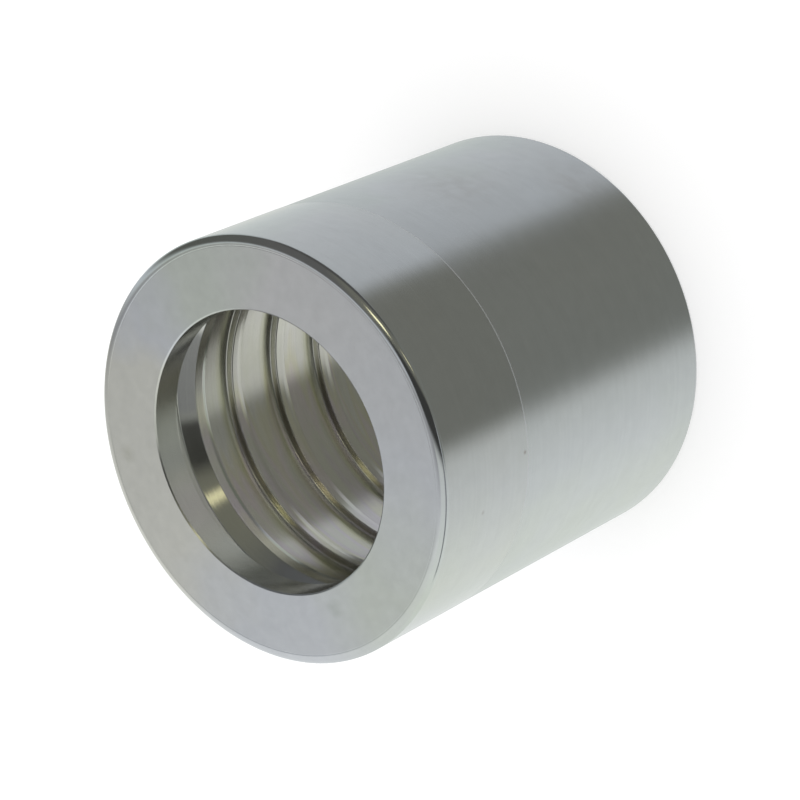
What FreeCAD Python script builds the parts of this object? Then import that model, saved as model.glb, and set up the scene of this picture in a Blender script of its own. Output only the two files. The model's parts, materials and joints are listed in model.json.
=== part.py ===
import FreeCAD, Part
import os
import Sketcher

# Crimp hose ferrule: one piece, turned and bored from a steel bar.
# It stands on its hose end: the origin is the centre of that end, and +Z runs up to the collar face.
# Depths are measured down from the collar face, because the bore is laid out from there.
# Lengths are in millimetres and angles in degrees.

SIZES = {
    # Hose bore, over the crests of the teeth, and the wall of the barrel round it
    "tooth_bore_diameter": 52.8,
    "tooth_height": 1.3,
    "barrel_wall": 5.3,
    "overall_length": 65.0,
    # Gripping teeth
    "tooth_count": 4,
    "tooth_pitch": 10.6,
    "tooth_width": 2.4,
    "tooth_heel_length": 1.1,
    "first_tooth_depth": 22.9,
    "heel_slope": 12.0,
    "flank_draft": 5.0,
    # Shoulder that stops the hose, with a slope up to it from the collar
    "shoulder_height": 2.1,
    "shoulder_depth": 13.3,
    "shoulder_width": 2.6,
    "shoulder_heel_length": 0.9,
    "shoulder_slope": 45.0,
    # Collar, which is pressed into the groove round the hose insert
    "collar_bore_diameter": 43.7,
    "collar_thickness": 4.9,
    "collar_heel_break": 0.2,
    "collar_mouth_break": 0.2,
    # Lead-in for the hose, and the outside edges
    "lead_in_length": 1.5,
    "lead_in_angle": 30.0,
    "collar_edge_round": 0.8,
    "hose_edge_break": 0.4,
}

# Radii and depths that the sections share, as formulas of the sheet
TOOTH = "sizes.tooth_bore_diameter / 2"
HEEL = f"{TOOTH} + sizes.tooth_heel_length * tan(sizes.heel_slope)"
WALL = f"{TOOTH} + sizes.tooth_height"
OUTER = f"{WALL} + sizes.barrel_wall"
SHOULDER = f"{WALL} - sizes.shoulder_height"
SHOULDER_HEEL = f"{SHOULDER} + sizes.shoulder_heel_length * tan(sizes.heel_slope)"
COLLAR = "sizes.collar_bore_diameter / 2"
HOSE_END = "sizes.overall_length"
SHOULDER_BACK = "sizes.shoulder_depth + sizes.shoulder_width"
FIRST_TOOTH_BACK = "sizes.first_tooth_depth + sizes.tooth_width"
LAST_TOOTH_BACK = f"{FIRST_TOOTH_BACK} + (sizes.tooth_count - 1) * sizes.tooth_pitch"

RING_TOLERANCE = 1e-4


def make_sheet(doc):
    """Driving dimensions: a name and its plain number in each row, with the name as alias."""
    sheet = doc.addObject("Spreadsheet::Sheet", "sizes")
    for row, (name, number) in enumerate(SIZES.items(), start=1):
        sheet.set(f"A{row}", name)
        sheet.set(f"B{row}", str(number))
        sheet.setAlias(f"B{row}", name)
    doc.recompute()
    return sheet


def value_of(body, formula):
    """What a formula of the sheet comes to now."""
    return float(body.evalExpression(formula))


def height_at(depth):
    """Formula of the height above the hose end of a depth below the collar face."""
    return f"{HOSE_END} - ({depth})"


def origin_feature(body, role):
    """One of the body's own origin planes or axes."""
    return next(feature for feature in body.Origin.OriginFeatures if feature.Role == role)


def half_section(body, name, corners):
    """Closed outline of straight lines through corners, each given by a radius and a depth."""
    sketch = body.newObject("Sketcher::SketchObject", name)
    sketch.AttachmentSupport = [(origin_feature(body, "XZ_Plane"), "")]
    sketch.MapMode = "FlatFace"
    places = [(radius, height_at(depth)) for radius, depth in corners]
    points = [FreeCAD.Vector(value_of(body, x), value_of(body, y), 0) for x, y in places]
    for start, end in zip(points, points[1:] + points[:1]):
        sketch.addGeometry(Part.LineSegment(start, end), False)
    for line, (x, y) in enumerate(places):
        following = (line + 1) % len(places)
        sketch.addConstraint(Sketcher.Constraint("Coincident", line, 2, following, 1))
        for kind, formula, start in (("DistanceX", x, points[line].x), ("DistanceY", y, points[line].y)):
            place = sketch.addConstraint(Sketcher.Constraint(kind, -1, 1, line, 1, start))
            sketch.setExpression(f"Constraints[{place}]", formula)
    body.Document.recompute()
    return sketch


def turn_bar(body):
    """Solid bar of the barrel's outside size."""
    corners = [("0", "0"), (OUTER, "0"), (OUTER, HOSE_END), ("0", HOSE_END)]
    sketch = half_section(body, "bar_section", corners)
    bar = body.newObject("PartDesign::Revolution", "bar")
    bar.Profile = sketch
    bar.ReferenceAxis = (sketch, ["V_Axis"])
    bar.Angle = 360
    body.Document.recompute()


def turn_groove(body, name, corners):
    """Ring of material turned away inside the barrel."""
    before = body.Shape.Volume
    sketch = half_section(body, f"{name}_section", corners)
    groove = body.newObject("PartDesign::Groove", name)
    groove.Profile = sketch
    groove.ReferenceAxis = (sketch, ["V_Axis"])
    groove.Angle = 360
    body.Document.recompute()
    check_removed(body, name, before)
    return groove


def check_removed(body, name, before):
    """Stop if a cut has taken nothing away."""
    if not body.Shape.Volume < before:
        raise RuntimeError(f"{name} cuts nothing")


def draft_run(radius):
    """Formula of how far along the axis a drafted flank runs between a crest's radius and the wall."""
    return f"({WALL} - ({radius})) * tan(sizes.flank_draft)"


def space_behind(back):
    """First corners of the space behind a tooth: its sloping heel and its flank, down to the wall."""
    heel_start = f"{back} - sizes.tooth_heel_length"
    return [
        (COLLAR, heel_start),
        (TOOTH, heel_start),
        (HEEL, back),
        (WALL, f"{back} + {draft_run(HEEL)}"),
    ]


def bore_bar(body):
    """Collar bore, recess behind the collar, slope, shoulder, first space and the bore of the teeth."""
    slope_start = "sizes.shoulder_depth - sizes.shoulder_height / tan(sizes.shoulder_slope)"
    turn_groove(body, "bore", [
        ("0", "0"),
        (COLLAR, "0"),
        (COLLAR, "sizes.collar_thickness"),
        (WALL, "sizes.collar_thickness"),
        (WALL, slope_start),
        (SHOULDER, "sizes.shoulder_depth"),
        (SHOULDER, f"{SHOULDER_BACK} - sizes.shoulder_heel_length"),
        (SHOULDER_HEEL, SHOULDER_BACK),
        (WALL, f"{SHOULDER_BACK} + {draft_run(SHOULDER_HEEL)}"),
        (WALL, f"sizes.first_tooth_depth - {draft_run(TOOTH)}"),
        (TOOTH, "sizes.first_tooth_depth"),
        (TOOTH, HOSE_END),
        ("0", HOSE_END),
    ])


def cut_tooth_spaces(body):
    """Equal spaces behind the first teeth, which leave the teeth standing between them."""
    next_tooth = "sizes.first_tooth_depth + sizes.tooth_pitch"
    space = turn_groove(body, "tooth_space", space_behind(FIRST_TOOTH_BACK) + [
        (WALL, f"{next_tooth} - {draft_run(TOOTH)}"),
        (TOOTH, next_tooth),
        (COLLAR, next_tooth),
    ])
    before = body.Shape.Volume
    row = body.newObject("PartDesign::LinearPattern", "tooth_space_row")
    row.Originals = [space]
    row.Direction = (origin_feature(body, "Z_Axis"), [""])
    row.Reversed = True
    row.Mode = "Spacing"
    row.setExpression("Offset", "sizes.tooth_pitch")
    row.setExpression("Occurrences", "sizes.tooth_count - 1")
    body.Tip = row
    body.Document.recompute()
    check_removed(body, "tooth_space_row", before)


def open_hose_end(body):
    """Last space, from behind the last tooth out through the hose end, with its lead-in."""
    turn_groove(body, "mouth", space_behind(LAST_TOOTH_BACK) + [
        (WALL, f"{HOSE_END} - sizes.lead_in_length"),
        (f"{WALL} + sizes.lead_in_length * tan(sizes.lead_in_angle)", HOSE_END),
        (COLLAR, HOSE_END),
    ])


def ring_name(body, radius, depth):
    """Name of the round edge of one radius at one depth."""
    radius = value_of(body, radius)
    height = value_of(body, height_at(depth))
    for index, edge in enumerate(body.Shape.Edges, start=1):
        if not isinstance(edge.Curve, Part.Circle):
            continue
        if max(abs(edge.Curve.Radius - radius), abs(edge.Curve.Center.z - height)) < RING_TOLERANCE:
            return f"Edge{index}"
    raise RuntimeError(f"no edge of radius {radius} at height {height}")


def round_edge(body, name, radius, depth):
    """Fillet on a round edge, of the size that has its name."""
    edge = ring_name(body, radius, depth)
    base = body.Tip
    fillet = body.newObject("PartDesign::Fillet", f"{name}_fillet")
    fillet.Base = (base, [edge])
    fillet.setExpression("Radius", f"sizes.{name}")
    body.Document.recompute()


def bevel_edge(body, name, radius, depth):
    """Bevel on a round edge, of the size that has its name."""
    edge = ring_name(body, radius, depth)
    base = body.Tip
    bevel = body.newObject("PartDesign::Chamfer", f"{name}_bevel")
    bevel.Base = (base, [edge])
    bevel.setExpression("Size", f"sizes.{name}")
    body.Document.recompute()


def finish_edges(body):
    """Bevels and rounds where the insert and the hand meet the piece."""
    bevel_edge(body, "collar_mouth_break", COLLAR, "0")
    bevel_edge(body, "collar_heel_break", COLLAR, "sizes.collar_thickness")
    bevel_edge(body, "hose_edge_break", OUTER, HOSE_END)
    round_edge(body, "collar_edge_round", OUTER, "0")


def make_ferrule(doc):
    """The whole ferrule, in the order in which it is turned."""
    body = doc.addObject("PartDesign::Body", "ferrule")
    body.Label = "ferrule"
    turn_bar(body)
    bore_bar(body)
    cut_tooth_spaces(body)
    open_hose_end(body)
    finish_edges(body)
    body.Placement = FreeCAD.Placement()
    doc.recompute()
    return body


def check_document(doc, bodies):
    """Stop if a feature has failed or a piece is not one valid solid."""
    for item in doc.Objects:
        if "Invalid" in item.State or "Error" in item.State:
            raise RuntimeError(f"{item.Name} has failed")
    for body in bodies:
        if body.Shape.isNull() or not body.Shape.isValid() or len(body.Shape.Solids) != 1:
            raise RuntimeError(f"{body.Label} is not one valid solid")


document = FreeCAD.newDocument("crimp_hose_ferrule")
make_sheet(document)
pieces = [make_ferrule(document)]
check_document(document, pieces)
os.makedirs("parts", exist_ok=True)
for piece in pieces:
    piece.Shape.exportStep(f"parts/{piece.Label}.step")
    box = piece.Shape.BoundBox
    print(piece.Label, "volume", round(piece.Shape.Volume, 1), "box", box.XLength, box.YLength, box.ZLength)
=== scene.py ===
import json
import math

import bmesh
import bpy
from mathutils import Matrix, Vector


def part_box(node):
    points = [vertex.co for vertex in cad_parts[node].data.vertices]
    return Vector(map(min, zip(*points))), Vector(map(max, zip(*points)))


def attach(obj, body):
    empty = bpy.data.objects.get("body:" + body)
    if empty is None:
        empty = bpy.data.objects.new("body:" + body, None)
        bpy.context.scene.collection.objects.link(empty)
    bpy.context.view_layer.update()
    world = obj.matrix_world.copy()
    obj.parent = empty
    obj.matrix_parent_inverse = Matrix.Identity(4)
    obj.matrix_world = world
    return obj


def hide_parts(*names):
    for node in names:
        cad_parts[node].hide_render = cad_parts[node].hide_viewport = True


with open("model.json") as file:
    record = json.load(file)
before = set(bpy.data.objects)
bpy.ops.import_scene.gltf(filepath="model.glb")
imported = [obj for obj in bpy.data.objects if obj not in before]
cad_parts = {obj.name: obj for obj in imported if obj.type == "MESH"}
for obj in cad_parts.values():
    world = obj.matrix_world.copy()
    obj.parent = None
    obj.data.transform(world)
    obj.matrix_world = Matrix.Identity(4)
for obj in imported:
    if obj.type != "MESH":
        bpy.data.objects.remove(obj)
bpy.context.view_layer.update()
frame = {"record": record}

# Ferrule body: one piece of free-cutting steel bar, turned outside and bored from both ends.
# The outline is its half-section, listed as radius, depth below the collar face and corner round,
# and it is spun once round the axis. The rounds are those that the turning tools leave.
MM = 0.001
mounts = {mount["name"]: mount for mount in frame["record"]["mounts"]}
far_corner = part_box("ferrule")[1]
outer_radius, length = far_corner[1], far_corner[2]
collar_radius = mounts["collar_bore"]["dims"]["r_mm"] * MM
crest_radius = mounts["hose_bore"]["dims"]["r_mm"] * MM
tooth_height = 1.3 * MM
shoulder_height = 2.1 * MM
wall_radius = crest_radius + tooth_height
shoulder_radius = wall_radius - shoulder_height

collar_thickness = 4.9 * MM
shoulder_depth = 13.3 * MM
shoulder_width = 2.6 * MM
shoulder_heel_length = 0.9 * MM
first_tooth_depth = 22.9 * MM
tooth_pitch = 10.6 * MM
tooth_width = 2.4 * MM
tooth_heel_length = 1.1 * MM
tooth_count = 4
heel_slope = math.tan(math.radians(10.0))
flank_slope = math.tan(math.radians(5.0))
lead_in_length = 1.5 * MM
lead_in_rise = lead_in_length * math.tan(math.radians(30.0))

# The form tool leaves a small ramp at the foot of each flank that faces the collar.
ramp_length = 0.8 * MM
ramp_rise = ramp_length * math.tan(math.radians(10.0))
ramp_bend = 4.0 * MM

root_round = 0.4 * MM
crest_round = 0.25 * MM
heel_bend = 1.5 * MM
shoulder_round = 0.15 * MM
collar_heel_round = 0.2 * MM
hose_edge_round = 0.4 * MM
mouth_break_radial = 0.23 * MM
mouth_break_axial = 0.17 * MM

# The outside edge of the collar face is dressed by hand, to a round that flattens towards the face.
# Each pair is an angle off the barrel in degrees, and how far the edge runs on at it in millimetres.
edge_facets = (
    (8, 0.06), (18, 0.08), (28, 0.08), (38, 0.08), (46, 0.12), (52, 0.16), (57, 0.18), (61, 0.20),
    (65, 0.18), (69, 0.14), (74, 0.14), (79, 0.14), (84, 0.14),
)

# Witness lines: a fine step down from the band beside the face, where the two outside cuts meet,
# and a scored ring where the facing cut ends.
witness_depth = 20.0 * MM
witness_width = 0.26 * MM
witness_step = 0.04 * MM
facing_radius = outer_radius - 1.55 * MM
facing_width = 0.16 * MM
facing_score = 0.025 * MM

shoulder_back = shoulder_depth + shoulder_width
shoulder_heel_radius = shoulder_radius + shoulder_heel_length * heel_slope
tooth_heel_radius = crest_radius + tooth_heel_length * heel_slope
ramp_top_radius = wall_radius - ramp_rise
edge_radius = outer_radius
edge_depth = sum(run * math.cos(math.radians(angle)) for angle, run in edge_facets) * MM
outline = [(edge_radius, edge_depth, 0.0)]
for angle, run in edge_facets:
    edge_radius -= run * math.sin(math.radians(angle)) * MM
    edge_depth -= run * math.cos(math.radians(angle)) * MM
    outline.append((edge_radius, edge_depth, 0.0))
outline += [
    (facing_radius + facing_width / 2, 0.0, 0.0),
    (facing_radius, facing_score, 0.0),
    (facing_radius - facing_width / 2, 0.0, 0.0),
    (collar_radius + mouth_break_radial, 0.0, 0.0),
    (collar_radius, mouth_break_axial, 0.0),
    (collar_radius, collar_thickness, collar_heel_round),
    (wall_radius, collar_thickness, root_round),
    (wall_radius, shoulder_depth - shoulder_height, root_round),
    (shoulder_radius, shoulder_depth, shoulder_round),
    (shoulder_radius, shoulder_back - shoulder_heel_length, heel_bend),
    (shoulder_heel_radius, shoulder_back, crest_round),
    (wall_radius, shoulder_back + (wall_radius - shoulder_heel_radius) * flank_slope, root_round),
]
for tooth in range(tooth_count):
    front = first_tooth_depth + tooth * tooth_pitch
    back = front + tooth_width
    ramp_top = front - (ramp_top_radius - crest_radius) * flank_slope
    outline += [
        (wall_radius, ramp_top - ramp_length, ramp_bend),
        (ramp_top_radius, ramp_top, root_round),
        (crest_radius, front, crest_round),
        (crest_radius, back - tooth_heel_length, heel_bend),
        (tooth_heel_radius, back, crest_round),
        (wall_radius, back + (wall_radius - tooth_heel_radius) * flank_slope, root_round),
    ]
outline += [
    (wall_radius, length - lead_in_length, 0.0),
    (wall_radius + lead_in_rise, length, 0.0),
    (outer_radius - witness_step, length, hose_edge_round),
    (outer_radius - witness_step, witness_depth + witness_width / 2, 0.0),
    (outer_radius, witness_depth - witness_width / 2, 0.0),
]

turns = 256
bevel_step = math.radians(12)
sharp_angle = math.radians(13)
mesh_tolerance = 1e-6


def ring_edges(bm, radius, height):
    """Edges of the ring at one radius and height."""
    def on_ring(vert):
        off_radius = abs(math.hypot(vert.co.x, vert.co.y) - radius)
        return off_radius < mesh_tolerance and abs(vert.co.z - height) < mesh_tolerance

    return [edge for edge in bm.edges if all(on_ring(vert) for vert in edge.verts)]


bm = bmesh.new()
corners = [bm.verts.new((radius, 0.0, length - depth)) for radius, depth, corner_round in outline]
section = [bm.edges.new((corners[index - 1], corners[index])) for index in range(len(corners))]
bmesh.ops.spin(
    bm, geom=corners + section, cent=(0, 0, 0), axis=(0, 0, 1), dvec=(0, 0, 0),
    angle=math.tau, steps=turns, use_merge=True,
)
bmesh.ops.remove_doubles(bm, verts=bm.verts, dist=mesh_tolerance)
bmesh.ops.recalc_face_normals(bm, faces=bm.faces)
for index, (radius, depth, corner_round) in enumerate(outline):
    if corner_round == 0.0:
        continue
    before = Vector(outline[index - 1][:2]) - Vector((radius, depth))
    after = Vector(outline[(index + 1) % len(outline)][:2]) - Vector((radius, depth))
    turn = math.pi - before.angle(after)
    bmesh.ops.bevel(
        bm, geom=ring_edges(bm, radius, length - depth), offset=corner_round * math.tan(turn / 2),
        offset_type="OFFSET", segments=max(2, math.ceil(turn / bevel_step)), profile=0.5,
        affect="EDGES", material=-1,
    )
for face in bm.faces:
    face.smooth = True
mesh = bpy.data.meshes.new("turned_ferrule")
bm.to_mesh(mesh)
bm.free()
mesh.set_sharp_from_angle(angle=sharp_angle)
ferrule = bpy.data.objects.new("turned_ferrule", mesh)
bpy.context.collection.objects.link(ferrule)

# In the shading the wide faces keep their own direction, and only the fine rounds between them turn.
weighted = ferrule.modifiers.new("flat_face_shading", "WEIGHTED_NORMAL")
weighted.mode = "FACE_AREA"
weighted.weight = 100
weighted.keep_sharp = True


def linear(hex_colour):
    """Linear colour of an sRGB hex value."""
    channels = [int(hex_colour[place:place + 2], 16) / 255 for place in (1, 3, 5)]
    return [c / 12.92 if c <= 0.04045 else ((c + 0.055) / 1.055) ** 2.4 for c in channels] + [1.0]


def add_node(tree, kind, inputs=(), **settings):
    """A node with its settings, and each input given as a value or as the socket that feeds it."""
    node = tree.nodes.new(kind)
    for name, value in settings.items():
        setattr(node, name, value)
    for name, value in dict(inputs).items():
        if isinstance(value, bpy.types.NodeSocket):
            tree.links.new(value, node.inputs[name])
        else:
            node.inputs[name].default_value = value
    return node


def zone(tree, value, start, end, soft):
    """1 where a value lies between start and end, 0 well outside them, and soft across each end."""
    offset = add_node(tree, "ShaderNodeMath", {0: value, 1: (start + end) / 2}, operation="SUBTRACT")
    distance = add_node(tree, "ShaderNodeMath", {0: offset.outputs[0]}, operation="ABSOLUTE")
    half_width = (end - start) / 2
    mask = add_node(tree, "ShaderNodeMapRange", {
        "Value": distance.outputs[0], "From Min": half_width - soft, "From Max": half_width + soft,
        "To Min": 1.0, "To Max": 0.0,
    }, interpolation_type="SMOOTHSTEP")
    return mask.outputs["Result"]


# A Mix node calls every pair of its inputs A and B, so these go by their number.
NUMBER_A, NUMBER_B, NUMBER_OUT = 2, 3, 0
COLOUR_A, COLOUR_B, COLOUR_OUT = 6, 7, 2

# Bright zinc plate about 10 microns thick, with a clear passivation, over turned steel. The turning
# marks run round the axis, so a reflection spreads along it and stays crisp across it, and the
# passivation tints the metal in faint straw, blue and green sectors, with warmer tints in the bore.
straw, green, blue, neutral = "#CFD0CA", "#C5CBC5", "#C8CCD1", "#CBCCCD"
plate_tints = (
    (0.00, green), (0.06, blue), (0.11, straw), (0.30, straw), (0.39, blue),
    (0.46, blue), (0.55, green), (0.67, blue), (0.90, neutral), (0.97, green),
)
olive, gold, rose, lilac, warm = "#CACAC2", "#CDCBBC", "#CFC8CA", "#CAC4C9", "#CDCCC9"
bore_tints = (
    (0.04, warm), (0.12, olive), (0.19, warm), (0.22, gold), (0.25, rose), (0.29, olive), (0.34, lilac),
    (0.38, gold), (0.42, warm), (0.55, olive), (0.68, warm), (0.80, lilac), (0.92, warm),
)
teal, yellow, clear = "#EAF2F1", "#F3F4DF", "#FFFFFF"
corner_tints = (
    (0.24, clear), (0.28, teal), (0.34, clear), (0.74, clear), (0.88, yellow), (0.99, clear),
)
band_tint = "#FBFAF9"

zinc = bpy.data.materials.new("zinc_plated_turned_steel")
zinc.use_nodes = True
tree = zinc.node_tree
tree.nodes.clear()
place = add_node(tree, "ShaderNodeTexCoord").outputs["Object"]
axes = add_node(tree, "ShaderNodeSeparateXYZ", {0: place}).outputs
height = axes["Z"]
across = add_node(tree, "ShaderNodeVectorMath", {0: place, 1: (1, 1, 0)}, operation="MULTIPLY")
off_axis = add_node(tree, "ShaderNodeVectorMath", {0: across.outputs[0]}, operation="LENGTH")
radius = off_axis.outputs["Value"]

# Where things are: the flat collar face, the inside, what lies deeper than the shoulder, and the
# band beside the face. A zone reaches past the metal on its open side. The inside starts just below
# the face and ends within the wall of the barrel, and the band starts below the dressed edge.
past = 1 * MM
face_skin = 0.05 * MM
barrel_skin = 0.5 * MM
inside_start = 0.15 * MM
inside_end = outer_radius - 4 * MM
band_start = 1 * MM
on_face = zone(tree, height, length - face_skin, length + past, soft=0.03 * MM)
within_wall = zone(tree, radius, collar_radius - 2 * past, inside_end, soft=0.5 * MM)
below_face = zone(tree, height, -past, length - inside_start, soft=0.05 * MM)
inside = add_node(tree, "ShaderNodeMath", {
    0: within_wall, 1: below_face,
}, operation="MULTIPLY").outputs[0]
deep = zone(tree, height, -past, length - shoulder_depth, soft=0.3 * MM)
in_bore = add_node(tree, "ShaderNodeMath", {0: inside, 1: deep}, operation="MULTIPLY").outputs[0]
beside_face = zone(tree, height, length - witness_depth, length - band_start, soft=0.1 * MM)
outermost = zone(tree, radius, outer_radius - barrel_skin, outer_radius + past, soft=0.1 * MM)
on_band = add_node(tree, "ShaderNodeMath", {
    0: beside_face, 1: outermost,
}, operation="MULTIPLY").outputs[0]

# Turning marks: noise that changes fast along the section and slowly round the axis. They are finest
# on the face and plainest in the bore. Real ones are 0.1 to 0.2 mm wide, too fine to show here, so
# they are drawn coarser.
mark_width = 0.35 * MM
mark_length = 60 * MM
face_marks, barrel_marks, inside_marks = 0.2, 0.8, 1.5
mark_place = add_node(tree, "ShaderNodeVectorMath", {
    0: place, 1: (1 / mark_length, 1 / mark_length, 1 / mark_width),
}, operation="MULTIPLY")
mark_step = add_node(tree, "ShaderNodeMath", {0: radius, 1: 1 / mark_width}, operation="MULTIPLY")
mark_noise = add_node(tree, "ShaderNodeTexNoise", {
    "Vector": mark_place.outputs[0], "W": mark_step.outputs[0], "Scale": 1.0, "Detail": 2.0,
}, noise_dimensions="4D")
mark_signed = add_node(tree, "ShaderNodeMath", {
    0: mark_noise.outputs["Fac"], 1: 0.5,
}, operation="SUBTRACT")
wall_marks = add_node(tree, "ShaderNodeMapRange", {
    "Value": inside, "To Min": barrel_marks, "To Max": inside_marks,
})
mark_depth = add_node(tree, "ShaderNodeMix", {
    "Factor": on_face, NUMBER_A: wall_marks.outputs["Result"], NUMBER_B: face_marks,
}, data_type="FLOAT")
marks = add_node(tree, "ShaderNodeMath", {
    0: mark_signed.outputs[0], 1: mark_depth.outputs[NUMBER_OUT],
}, operation="MULTIPLY").outputs[0]

# Tints of the passivation: sectors round the axis with wandering borders, drawn out into streaks in
# the bore. A tint's place and the wander are parts of a turn.
tint_wander = 0.12
patch_size = 14 * MM
patches = add_node(tree, "ShaderNodeTexNoise", {
    "Vector": place, "Scale": 1 / patch_size, "Detail": 2.0,
}).outputs["Fac"]
angle = add_node(tree, "ShaderNodeMath", {0: axes["Y"], 1: axes["X"]}, operation="ARCTAN2")
turn_part = add_node(tree, "ShaderNodeMath", {
    0: angle.outputs[0], 1: 1 / math.tau, 2: -tint_wander / 2,
}, operation="MULTIPLY_ADD")
wandering = add_node(tree, "ShaderNodeMath", {
    0: patches, 1: tint_wander, 2: turn_part.outputs[0],
}, operation="MULTIPLY_ADD")
sector = add_node(tree, "ShaderNodeMath", {0: wandering.outputs[0]}, operation="FRACT")
plate = add_node(tree, "ShaderNodeValToRGB", {"Fac": sector.outputs[0]})

streak_wander = 0.32
streak_size = 3 * MM
streak_place = add_node(tree, "ShaderNodeVectorMath", {
    0: place, 1: (1 / mark_length, 1 / mark_length, 1 / streak_size),
}, operation="MULTIPLY")
streaks = add_node(tree, "ShaderNodeTexNoise", {
    "Vector": streak_place.outputs[0], "Scale": 1.0, "Detail": 1.0,
})
streaked = add_node(tree, "ShaderNodeMath", {
    0: streaks.outputs["Fac"], 1: streak_wander, 2: sector.outputs[0],
}, operation="MULTIPLY_ADD")
streaked = add_node(tree, "ShaderNodeMath", {
    0: streaked.outputs[0], 1: streak_wander / 2,
}, operation="SUBTRACT")
bore = add_node(tree, "ShaderNodeValToRGB", {"Fac": streaked.outputs[0]})

# The corners before and behind each tooth are tinted yellow and teal, by place along the tooth pitch.
pitch_part = add_node(tree, "ShaderNodeMath", {
    0: height, 1: -1 / tooth_pitch, 2: (length - first_tooth_depth) / tooth_pitch + tooth_count,
}, operation="MULTIPLY_ADD")
pitch_part = add_node(tree, "ShaderNodeMath", {0: pitch_part.outputs[0]}, operation="FRACT")
corner = add_node(tree, "ShaderNodeValToRGB", {"Fac": pitch_part.outputs[0]})
for ramp, tints in (
    (plate.color_ramp, plate_tints), (bore.color_ramp, bore_tints), (corner.color_ramp, corner_tints),
):
    while len(ramp.elements) < len(tints):
        ramp.elements.new(0.5)
    for element, (position, hex_colour) in zip(ramp.elements, tints):
        element.position = position
        element.color = linear(hex_colour)
bore_colour = add_node(tree, "ShaderNodeMix", {
    "Factor": 1.0, COLOUR_A: bore.outputs["Color"], COLOUR_B: corner.outputs["Color"],
}, data_type="RGBA", blend_type="MULTIPLY")
colour = add_node(tree, "ShaderNodeMix", {
    "Factor": in_bore, COLOUR_A: plate.outputs["Color"], COLOUR_B: bore_colour.outputs[COLOUR_OUT],
}, data_type="RGBA").outputs[COLOUR_OUT]

# Shade: the marks, and a cloudy mottle that handling and the plating bath leave. The mottle is
# plainest on the face, and the band is a trace darker.
mottle_size = 2.5 * MM
mark_contrast = 0.05
wall_mottle, face_mottle = 0.05, 0.09
mottle = add_node(tree, "ShaderNodeTexNoise", {
    "Vector": place, "Scale": 1 / mottle_size, "Detail": 4.0, "Roughness": 0.6,
}).outputs["Fac"]
mark_shade = add_node(tree, "ShaderNodeMapRange", {
    "Value": marks, "From Min": -0.5, "From Max": 0.5,
    "To Min": 1 - mark_contrast, "To Max": 1 + mark_contrast,
})
mottle_change = add_node(tree, "ShaderNodeMapRange", {
    "Value": on_face, "To Min": wall_mottle, "To Max": face_mottle,
})
mottle_signed = add_node(tree, "ShaderNodeMapRange", {"Value": mottle, "To Min": -1.0, "To Max": 1.0})
mottle_shade = add_node(tree, "ShaderNodeMath", {
    0: mottle_signed.outputs["Result"], 1: mottle_change.outputs["Result"], 2: 1.0,
}, operation="MULTIPLY_ADD")
shade = add_node(tree, "ShaderNodeMath", {
    0: mark_shade.outputs["Result"], 1: mottle_shade.outputs[0],
}, operation="MULTIPLY")
colour = add_node(tree, "ShaderNodeMix", {
    "Factor": 1.0, COLOUR_A: colour, COLOUR_B: shade.outputs[0],
}, data_type="RGBA", blend_type="MULTIPLY").outputs[COLOUR_OUT]
colour = add_node(tree, "ShaderNodeMix", {
    "Factor": on_band, COLOUR_A: colour, COLOUR_B: linear(band_tint),
}, data_type="RGBA", blend_type="MULTIPLY").outputs[COLOUR_OUT]

# Handling marks: spots and smears of grime, by place and reach in millimetres and by colour, broken
# up by a fine noise
smears = (
    ((8.9, 27.2, 65.0), 2.0, "#DEDED4"),
    ((-24.8, 0.4, 65.0), 2.2, "#E2E6DE"),
    ((-15.5, -29.1, 45.8), 0.5, "#C0AFA8"),
    ((-20.7, -25.7, 55.7), 0.6, "#DAD3CF"),
    ((25.6, -21.0, 26.0), 12.0, "#F1EFED"),
    ((17.4, -28.1, 7.0), 9.0, "#F1EEEB"),
)
grime_size = 2.2 * MM
grime_thin, grime_thick = 0.15, 0.85
grime = add_node(tree, "ShaderNodeTexNoise", {
    "Vector": place, "Scale": 1 / grime_size, "Detail": 3.0, "Roughness": 0.5,
}).outputs["Fac"]
grime_cover = add_node(tree, "ShaderNodeMapRange", {
    "Value": grime, "From Min": grime_thin, "From Max": grime_thick,
})
for spot, reach, hex_colour in smears:
    centre = [part * MM for part in spot]
    away = add_node(tree, "ShaderNodeVectorMath", {0: place, 1: centre}, operation="DISTANCE")
    near = add_node(tree, "ShaderNodeMapRange", {
        "Value": away.outputs["Value"], "From Min": reach * MM, "From Max": 0.0,
    }, interpolation_type="SMOOTHSTEP")
    cover = add_node(tree, "ShaderNodeMath", {
        0: near.outputs["Result"], 1: grime_cover.outputs["Result"],
    }, operation="MULTIPLY")
    colour = add_node(tree, "ShaderNodeMix", {
        "Factor": cover.outputs[0], COLOUR_A: colour, COLOUR_B: linear(hex_colour),
    }, data_type="RGBA", blend_type="MULTIPLY").outputs[COLOUR_OUT]

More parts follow.
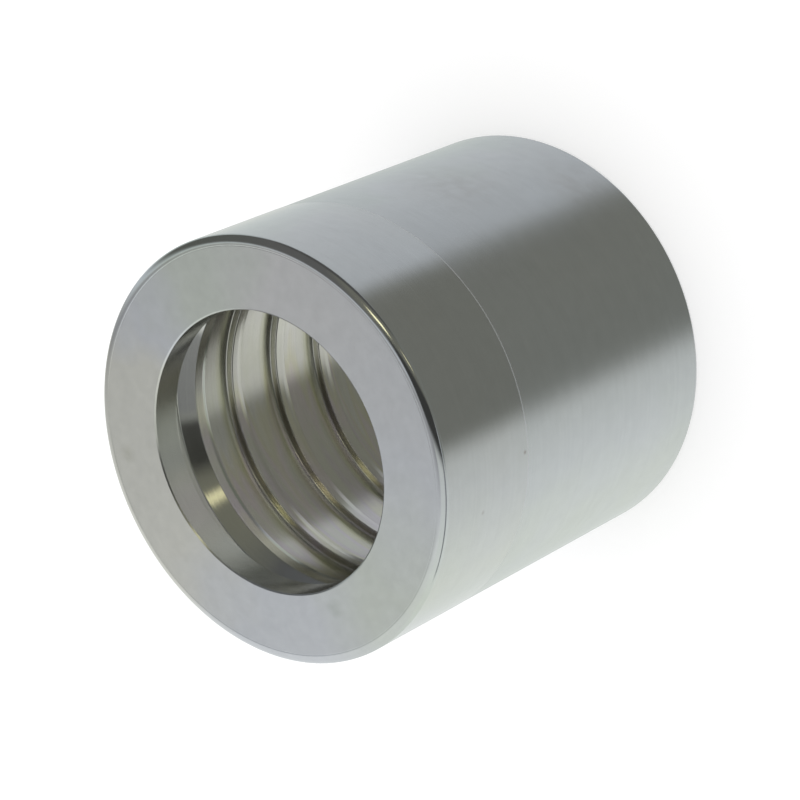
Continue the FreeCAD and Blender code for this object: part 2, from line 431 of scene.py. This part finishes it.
# The band is cut finer than the rest of the barrel. The slope in the bore and the dressed outside
# edge are as smooth as the form tool and the file leave them. The witness line is torn and its plate
# is dull, so it scatters some of the light.
barrel_roughness, band_roughness = 0.26, 0.17
inside_roughness, slope_roughness = 0.21, 0.12
edge_roughness, witness_roughness = 0.10, 0.30
metallic, witness_metallic = 1.0, 0.7
dressed_width = 1.3 * MM
dressed_depth = 0.7 * MM
near_rim = zone(tree, radius, outer_radius - dressed_width, outer_radius + past, soft=0.15 * MM)
near_front = zone(tree, height, length - dressed_depth, length + past, soft=0.15 * MM)
on_edge = add_node(tree, "ShaderNodeMath", {0: near_rim, 1: near_front}, operation="MULTIPLY")
witness_top = length - witness_depth + witness_width / 2
witness_foot = length - witness_depth - witness_width / 2
at_witness = zone(tree, height, witness_foot, witness_top, soft=0.03 * MM)
on_witness = add_node(tree, "ShaderNodeMath", {0: at_witness, 1: outermost}, operation="MULTIPLY")
slope_foot = length - shoulder_depth
at_slope = zone(tree, height, slope_foot, slope_foot + shoulder_height, soft=0.1 * MM)
on_slope = add_node(tree, "ShaderNodeMath", {0: inside, 1: at_slope}, operation="MULTIPLY")
roughness = add_node(tree, "ShaderNodeMapRange", {
    "Value": on_band, "To Min": barrel_roughness, "To Max": band_roughness,
})
roughness = roughness.outputs["Result"]
for part, part_roughness in (
    (inside, inside_roughness), (on_slope.outputs[0], slope_roughness),
    (on_edge.outputs[0], edge_roughness), (on_witness.outputs[0], witness_roughness),
):
    roughness = add_node(tree, "ShaderNodeMix", {
        "Factor": part, NUMBER_A: roughness, NUMBER_B: part_roughness,
    }, data_type="FLOAT").outputs[NUMBER_OUT]
shine = add_node(tree, "ShaderNodeMapRange", {
    "Value": on_witness.outputs[0], "To Min": metallic, "To Max": witness_metallic,
})

# The marks stretch a reflection across themselves: along the barrel, and outwards on the face.
mark_relief = 0.004 * MM
stretch = 0.75
quarter_turn = 0.25
relief = add_node(tree, "ShaderNodeBump", {"Height": marks, "Strength": 1.0, "Distance": mark_relief})
tangent = add_node(tree, "ShaderNodeTangent", direction_type="RADIAL", axis="Z")
steel = add_node(tree, "ShaderNodeBsdfPrincipled", {
    "Base Color": colour,
    "Metallic": shine.outputs["Result"],
    "Roughness": roughness,
    "Anisotropic": stretch,
    "Anisotropic Rotation": quarter_turn,
    "Tangent": tangent.outputs["Tangent"],
    "Normal": relief.outputs["Normal"],
})
add_node(tree, "ShaderNodeOutputMaterial", {"Surface": steel.outputs["BSDF"]})
mesh.materials.append(zinc)
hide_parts("ferrule")
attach(ferrule, "root")

# Floor: a matt white board. The camera sees it a little lifted, so that it is white away from the
# part and keeps the part's soft shadow, and the metal reflects the room round it instead.
board_half_width = 2.0
board_white = "#E2E2E2"
camera_lift = 0.40
bm = bmesh.new()
bmesh.ops.create_grid(bm, x_segments=1, y_segments=1, size=board_half_width)
mesh = bpy.data.meshes.new("floor")
bm.to_mesh(mesh)
bm.free()
floor = bpy.data.objects.new("floor", mesh)
bpy.context.collection.objects.link(floor)
floor.visible_glossy = False
board = bpy.data.materials.new("matt_white_board")
board.use_nodes = True
tree = board.node_tree
tree.nodes.clear()
light_path = add_node(tree, "ShaderNodeLightPath")
lift = add_node(tree, "ShaderNodeMath", {
    0: light_path.outputs["Is Camera Ray"], 1: camera_lift,
}, operation="MULTIPLY")
matt = add_node(tree, "ShaderNodeBsdfDiffuse", {"Color": linear(board_white)})
glow = add_node(tree, "ShaderNodeEmission", {"Strength": lift.outputs[0]})
both = add_node(tree, "ShaderNodeAddShader", {0: matt.outputs["BSDF"], 1: glow.outputs["Emission"]})
add_node(tree, "ShaderNodeOutputMaterial", {"Surface": both.outputs[0]})
mesh.materials.append(board)

# Studio: the world is a room with a white table, dark cards and two small warm lamps, in which the
# part lies on its side. Only the metal's reflections see it, and all else sees plain white.

# Directions are an elevation above the table, and an azimuth from straight behind the part towards
# the right of the picture, in degrees. Colours are linear light, where 1 is white.
studio_up = (0.848, -0.530, 0.0)
studio_back = (0.3265, 0.5222, -0.7879)
studio_right = (-0.4176, -0.6682, -0.6159)
world = bpy.data.worlds.new("studio")
bpy.context.scene.world = world
world.use_nodes = True
tree = world.node_tree
tree.nodes.clear()
direction = add_node(tree, "ShaderNodeTexCoord").outputs["Generated"]
parts = []
for axis in (studio_up, studio_right, studio_back):
    dot = add_node(tree, "ShaderNodeVectorMath", {0: direction, 1: axis}, operation="DOT_PRODUCT")
    parts.append(dot.outputs["Value"])
upwards, rightwards, backwards = parts
elevation = add_node(tree, "ShaderNodeMath", {0: upwards}, operation="ARCSINE").outputs[0]
azimuth = add_node(tree, "ShaderNodeMath", {
    0: rightwards, 1: backwards,
}, operation="ARCTAN2").outputs[0]


def add_card(tree, room, colour, centre, width, low, high, soft):
    """The room with one more card in it, placed by its azimuth, width, elevations and soft edge."""
    turned = add_node(tree, "ShaderNodeMath", {0: azimuth, 1: math.radians(centre)}, operation="SUBTRACT")
    turned = add_node(tree, "ShaderNodeMath", {
        0: turned.outputs[0], 1: math.pi, 2: -math.pi,
    }, operation="WRAP")
    half_width, soft = math.radians(width / 2), math.radians(soft)
    sideways = zone(tree, turned.outputs[0], -half_width, half_width, soft)
    upright = zone(tree, elevation, math.radians(low), math.radians(high), soft)
    mask = add_node(tree, "ShaderNodeMath", {0: sideways, 1: upright}, operation="MULTIPLY")
    mix = add_node(tree, "ShaderNodeMix", {
        "Factor": mask.outputs[0], COLOUR_A: room, COLOUR_B: colour,
    }, data_type="RGBA")
    return mix.outputs[COLOUR_OUT]


def add_rise(tree, low, low_colour, high, high_colour):
    """A colour that changes evenly from one elevation to another."""
    rise = add_node(tree, "ShaderNodeMapRange", {
        "Value": elevation, "From Min": math.radians(low), "From Max": math.radians(high),
    })
    mix = add_node(tree, "ShaderNodeMix", {
        "Factor": rise.outputs["Result"], COLOUR_A: low_colour, COLOUR_B: high_colour,
    }, data_type="RGBA")
    return mix.outputs[COLOUR_OUT]


# The walls darken upwards, and the table brightens from its far edge towards the part.
table = add_rise(tree, -8, (0.68, 0.695, 0.65, 1), -42, (0.965, 0.98, 0.945, 1))
near_table = add_rise(tree, -14, (0.39, 0.39, 0.39, 1), -31, (0.93, 0.93, 0.92, 1))
room = add_rise(tree, 0, (0.74, 0.775, 0.80, 1), 45, (0.62, 0.655, 0.675, 1))

# Each card is a colour, an azimuth, a width, a lowest and highest elevation and a soft edge. One that
# goes all round is wider than a full turn, so that its soft ends don't show.
all_round = 400
dark_card = (0.23, 0.235, 0.205, 1)
cards = (
    # A dark card to the right, and its wider foot
    (dark_card, 94.5, 111, -30, 90, 6),
    (dark_card, 92, 122, -30, 26, 6),
    # A darker card to the left, which stops just above the table
    ((0.14, 0.14, 0.135, 1), -95, 88, 4, 90, 8),
    # A card on the camera's side, up to the ceiling
    ((0.20, 0.20, 0.165, 1), -170, 84, 10, 90, 8),
    # The dark ceiling
    ((0.10, 0.10, 0.095, 1), 0, all_round, 53, 120, 6),
    # The table all round, its brighter end behind the part, and its shaded side to the left
    (table, 0, all_round, -120, -4.7, 5.5),
    ((0.93, 0.955, 0.945, 1), 0, 60, -120, -6, 12),
    (near_table, -95, 110, -120, -6, 7),
    # A grey strip on the table and a low black card, both on the camera's side
    ((0.23, 0.235, 0.245, 1), 170.5, 15, -52, -8, 4),
    ((0.05, 0.05, 0.046, 1), -168, 58, -8, 17, 4.5),
    # Two small warm lamps above the camera and to its left, which give the gold glints in the bore
    ((1.2, 1.13, 0.72, 1), -177, 15, 27, 31, 1.2),
    ((2.1, 2.0, 1.25, 1), -148, 12, 25, 32, 1.5),
)
for card in cards:
    room = add_card(tree, room, *card)
light_path = add_node(tree, "ShaderNodeLightPath")
plain = add_node(tree, "ShaderNodeBackground", {"Color": (1, 1, 1, 1)})
studio = add_node(tree, "ShaderNodeBackground", {"Color": room})
mix = add_node(tree, "ShaderNodeMixShader", {
    "Fac": light_path.outputs["Is Glossy Ray"], 1: plain.outputs[0], 2: studio.outputs[0],
})
add_node(tree, "ShaderNodeOutputWorld", {"Surface": mix.outputs[0]})

# Camera: the photograph looks down on the standing part and is turned on its side, so that the part
# lies in the picture with its collar face to the lower left.
camera_place = Vector((0.0, -326.0, 386.8)) * MM
aim_point = Vector((-1.13, 0.0, 33.86)) * MM
roll = math.radians(-114.82)
camera = bpy.data.objects.new("camera", bpy.data.cameras.new("camera"))
bpy.context.collection.objects.link(camera)
camera.data.sensor_width = 36.0
camera.data.lens = 140.4
camera.data.clip_start = 10 * MM
camera.matrix_world = (
    Matrix.Translation(camera_place)
    @ (aim_point - camera_place).to_track_quat("-Z", "Y").to_matrix().to_4x4()
    @ Matrix.Rotation(roll, 4, "Z")
)
bpy.context.scene.camera = camera
bpy.context.scene.view_settings.view_transform = "Standard"
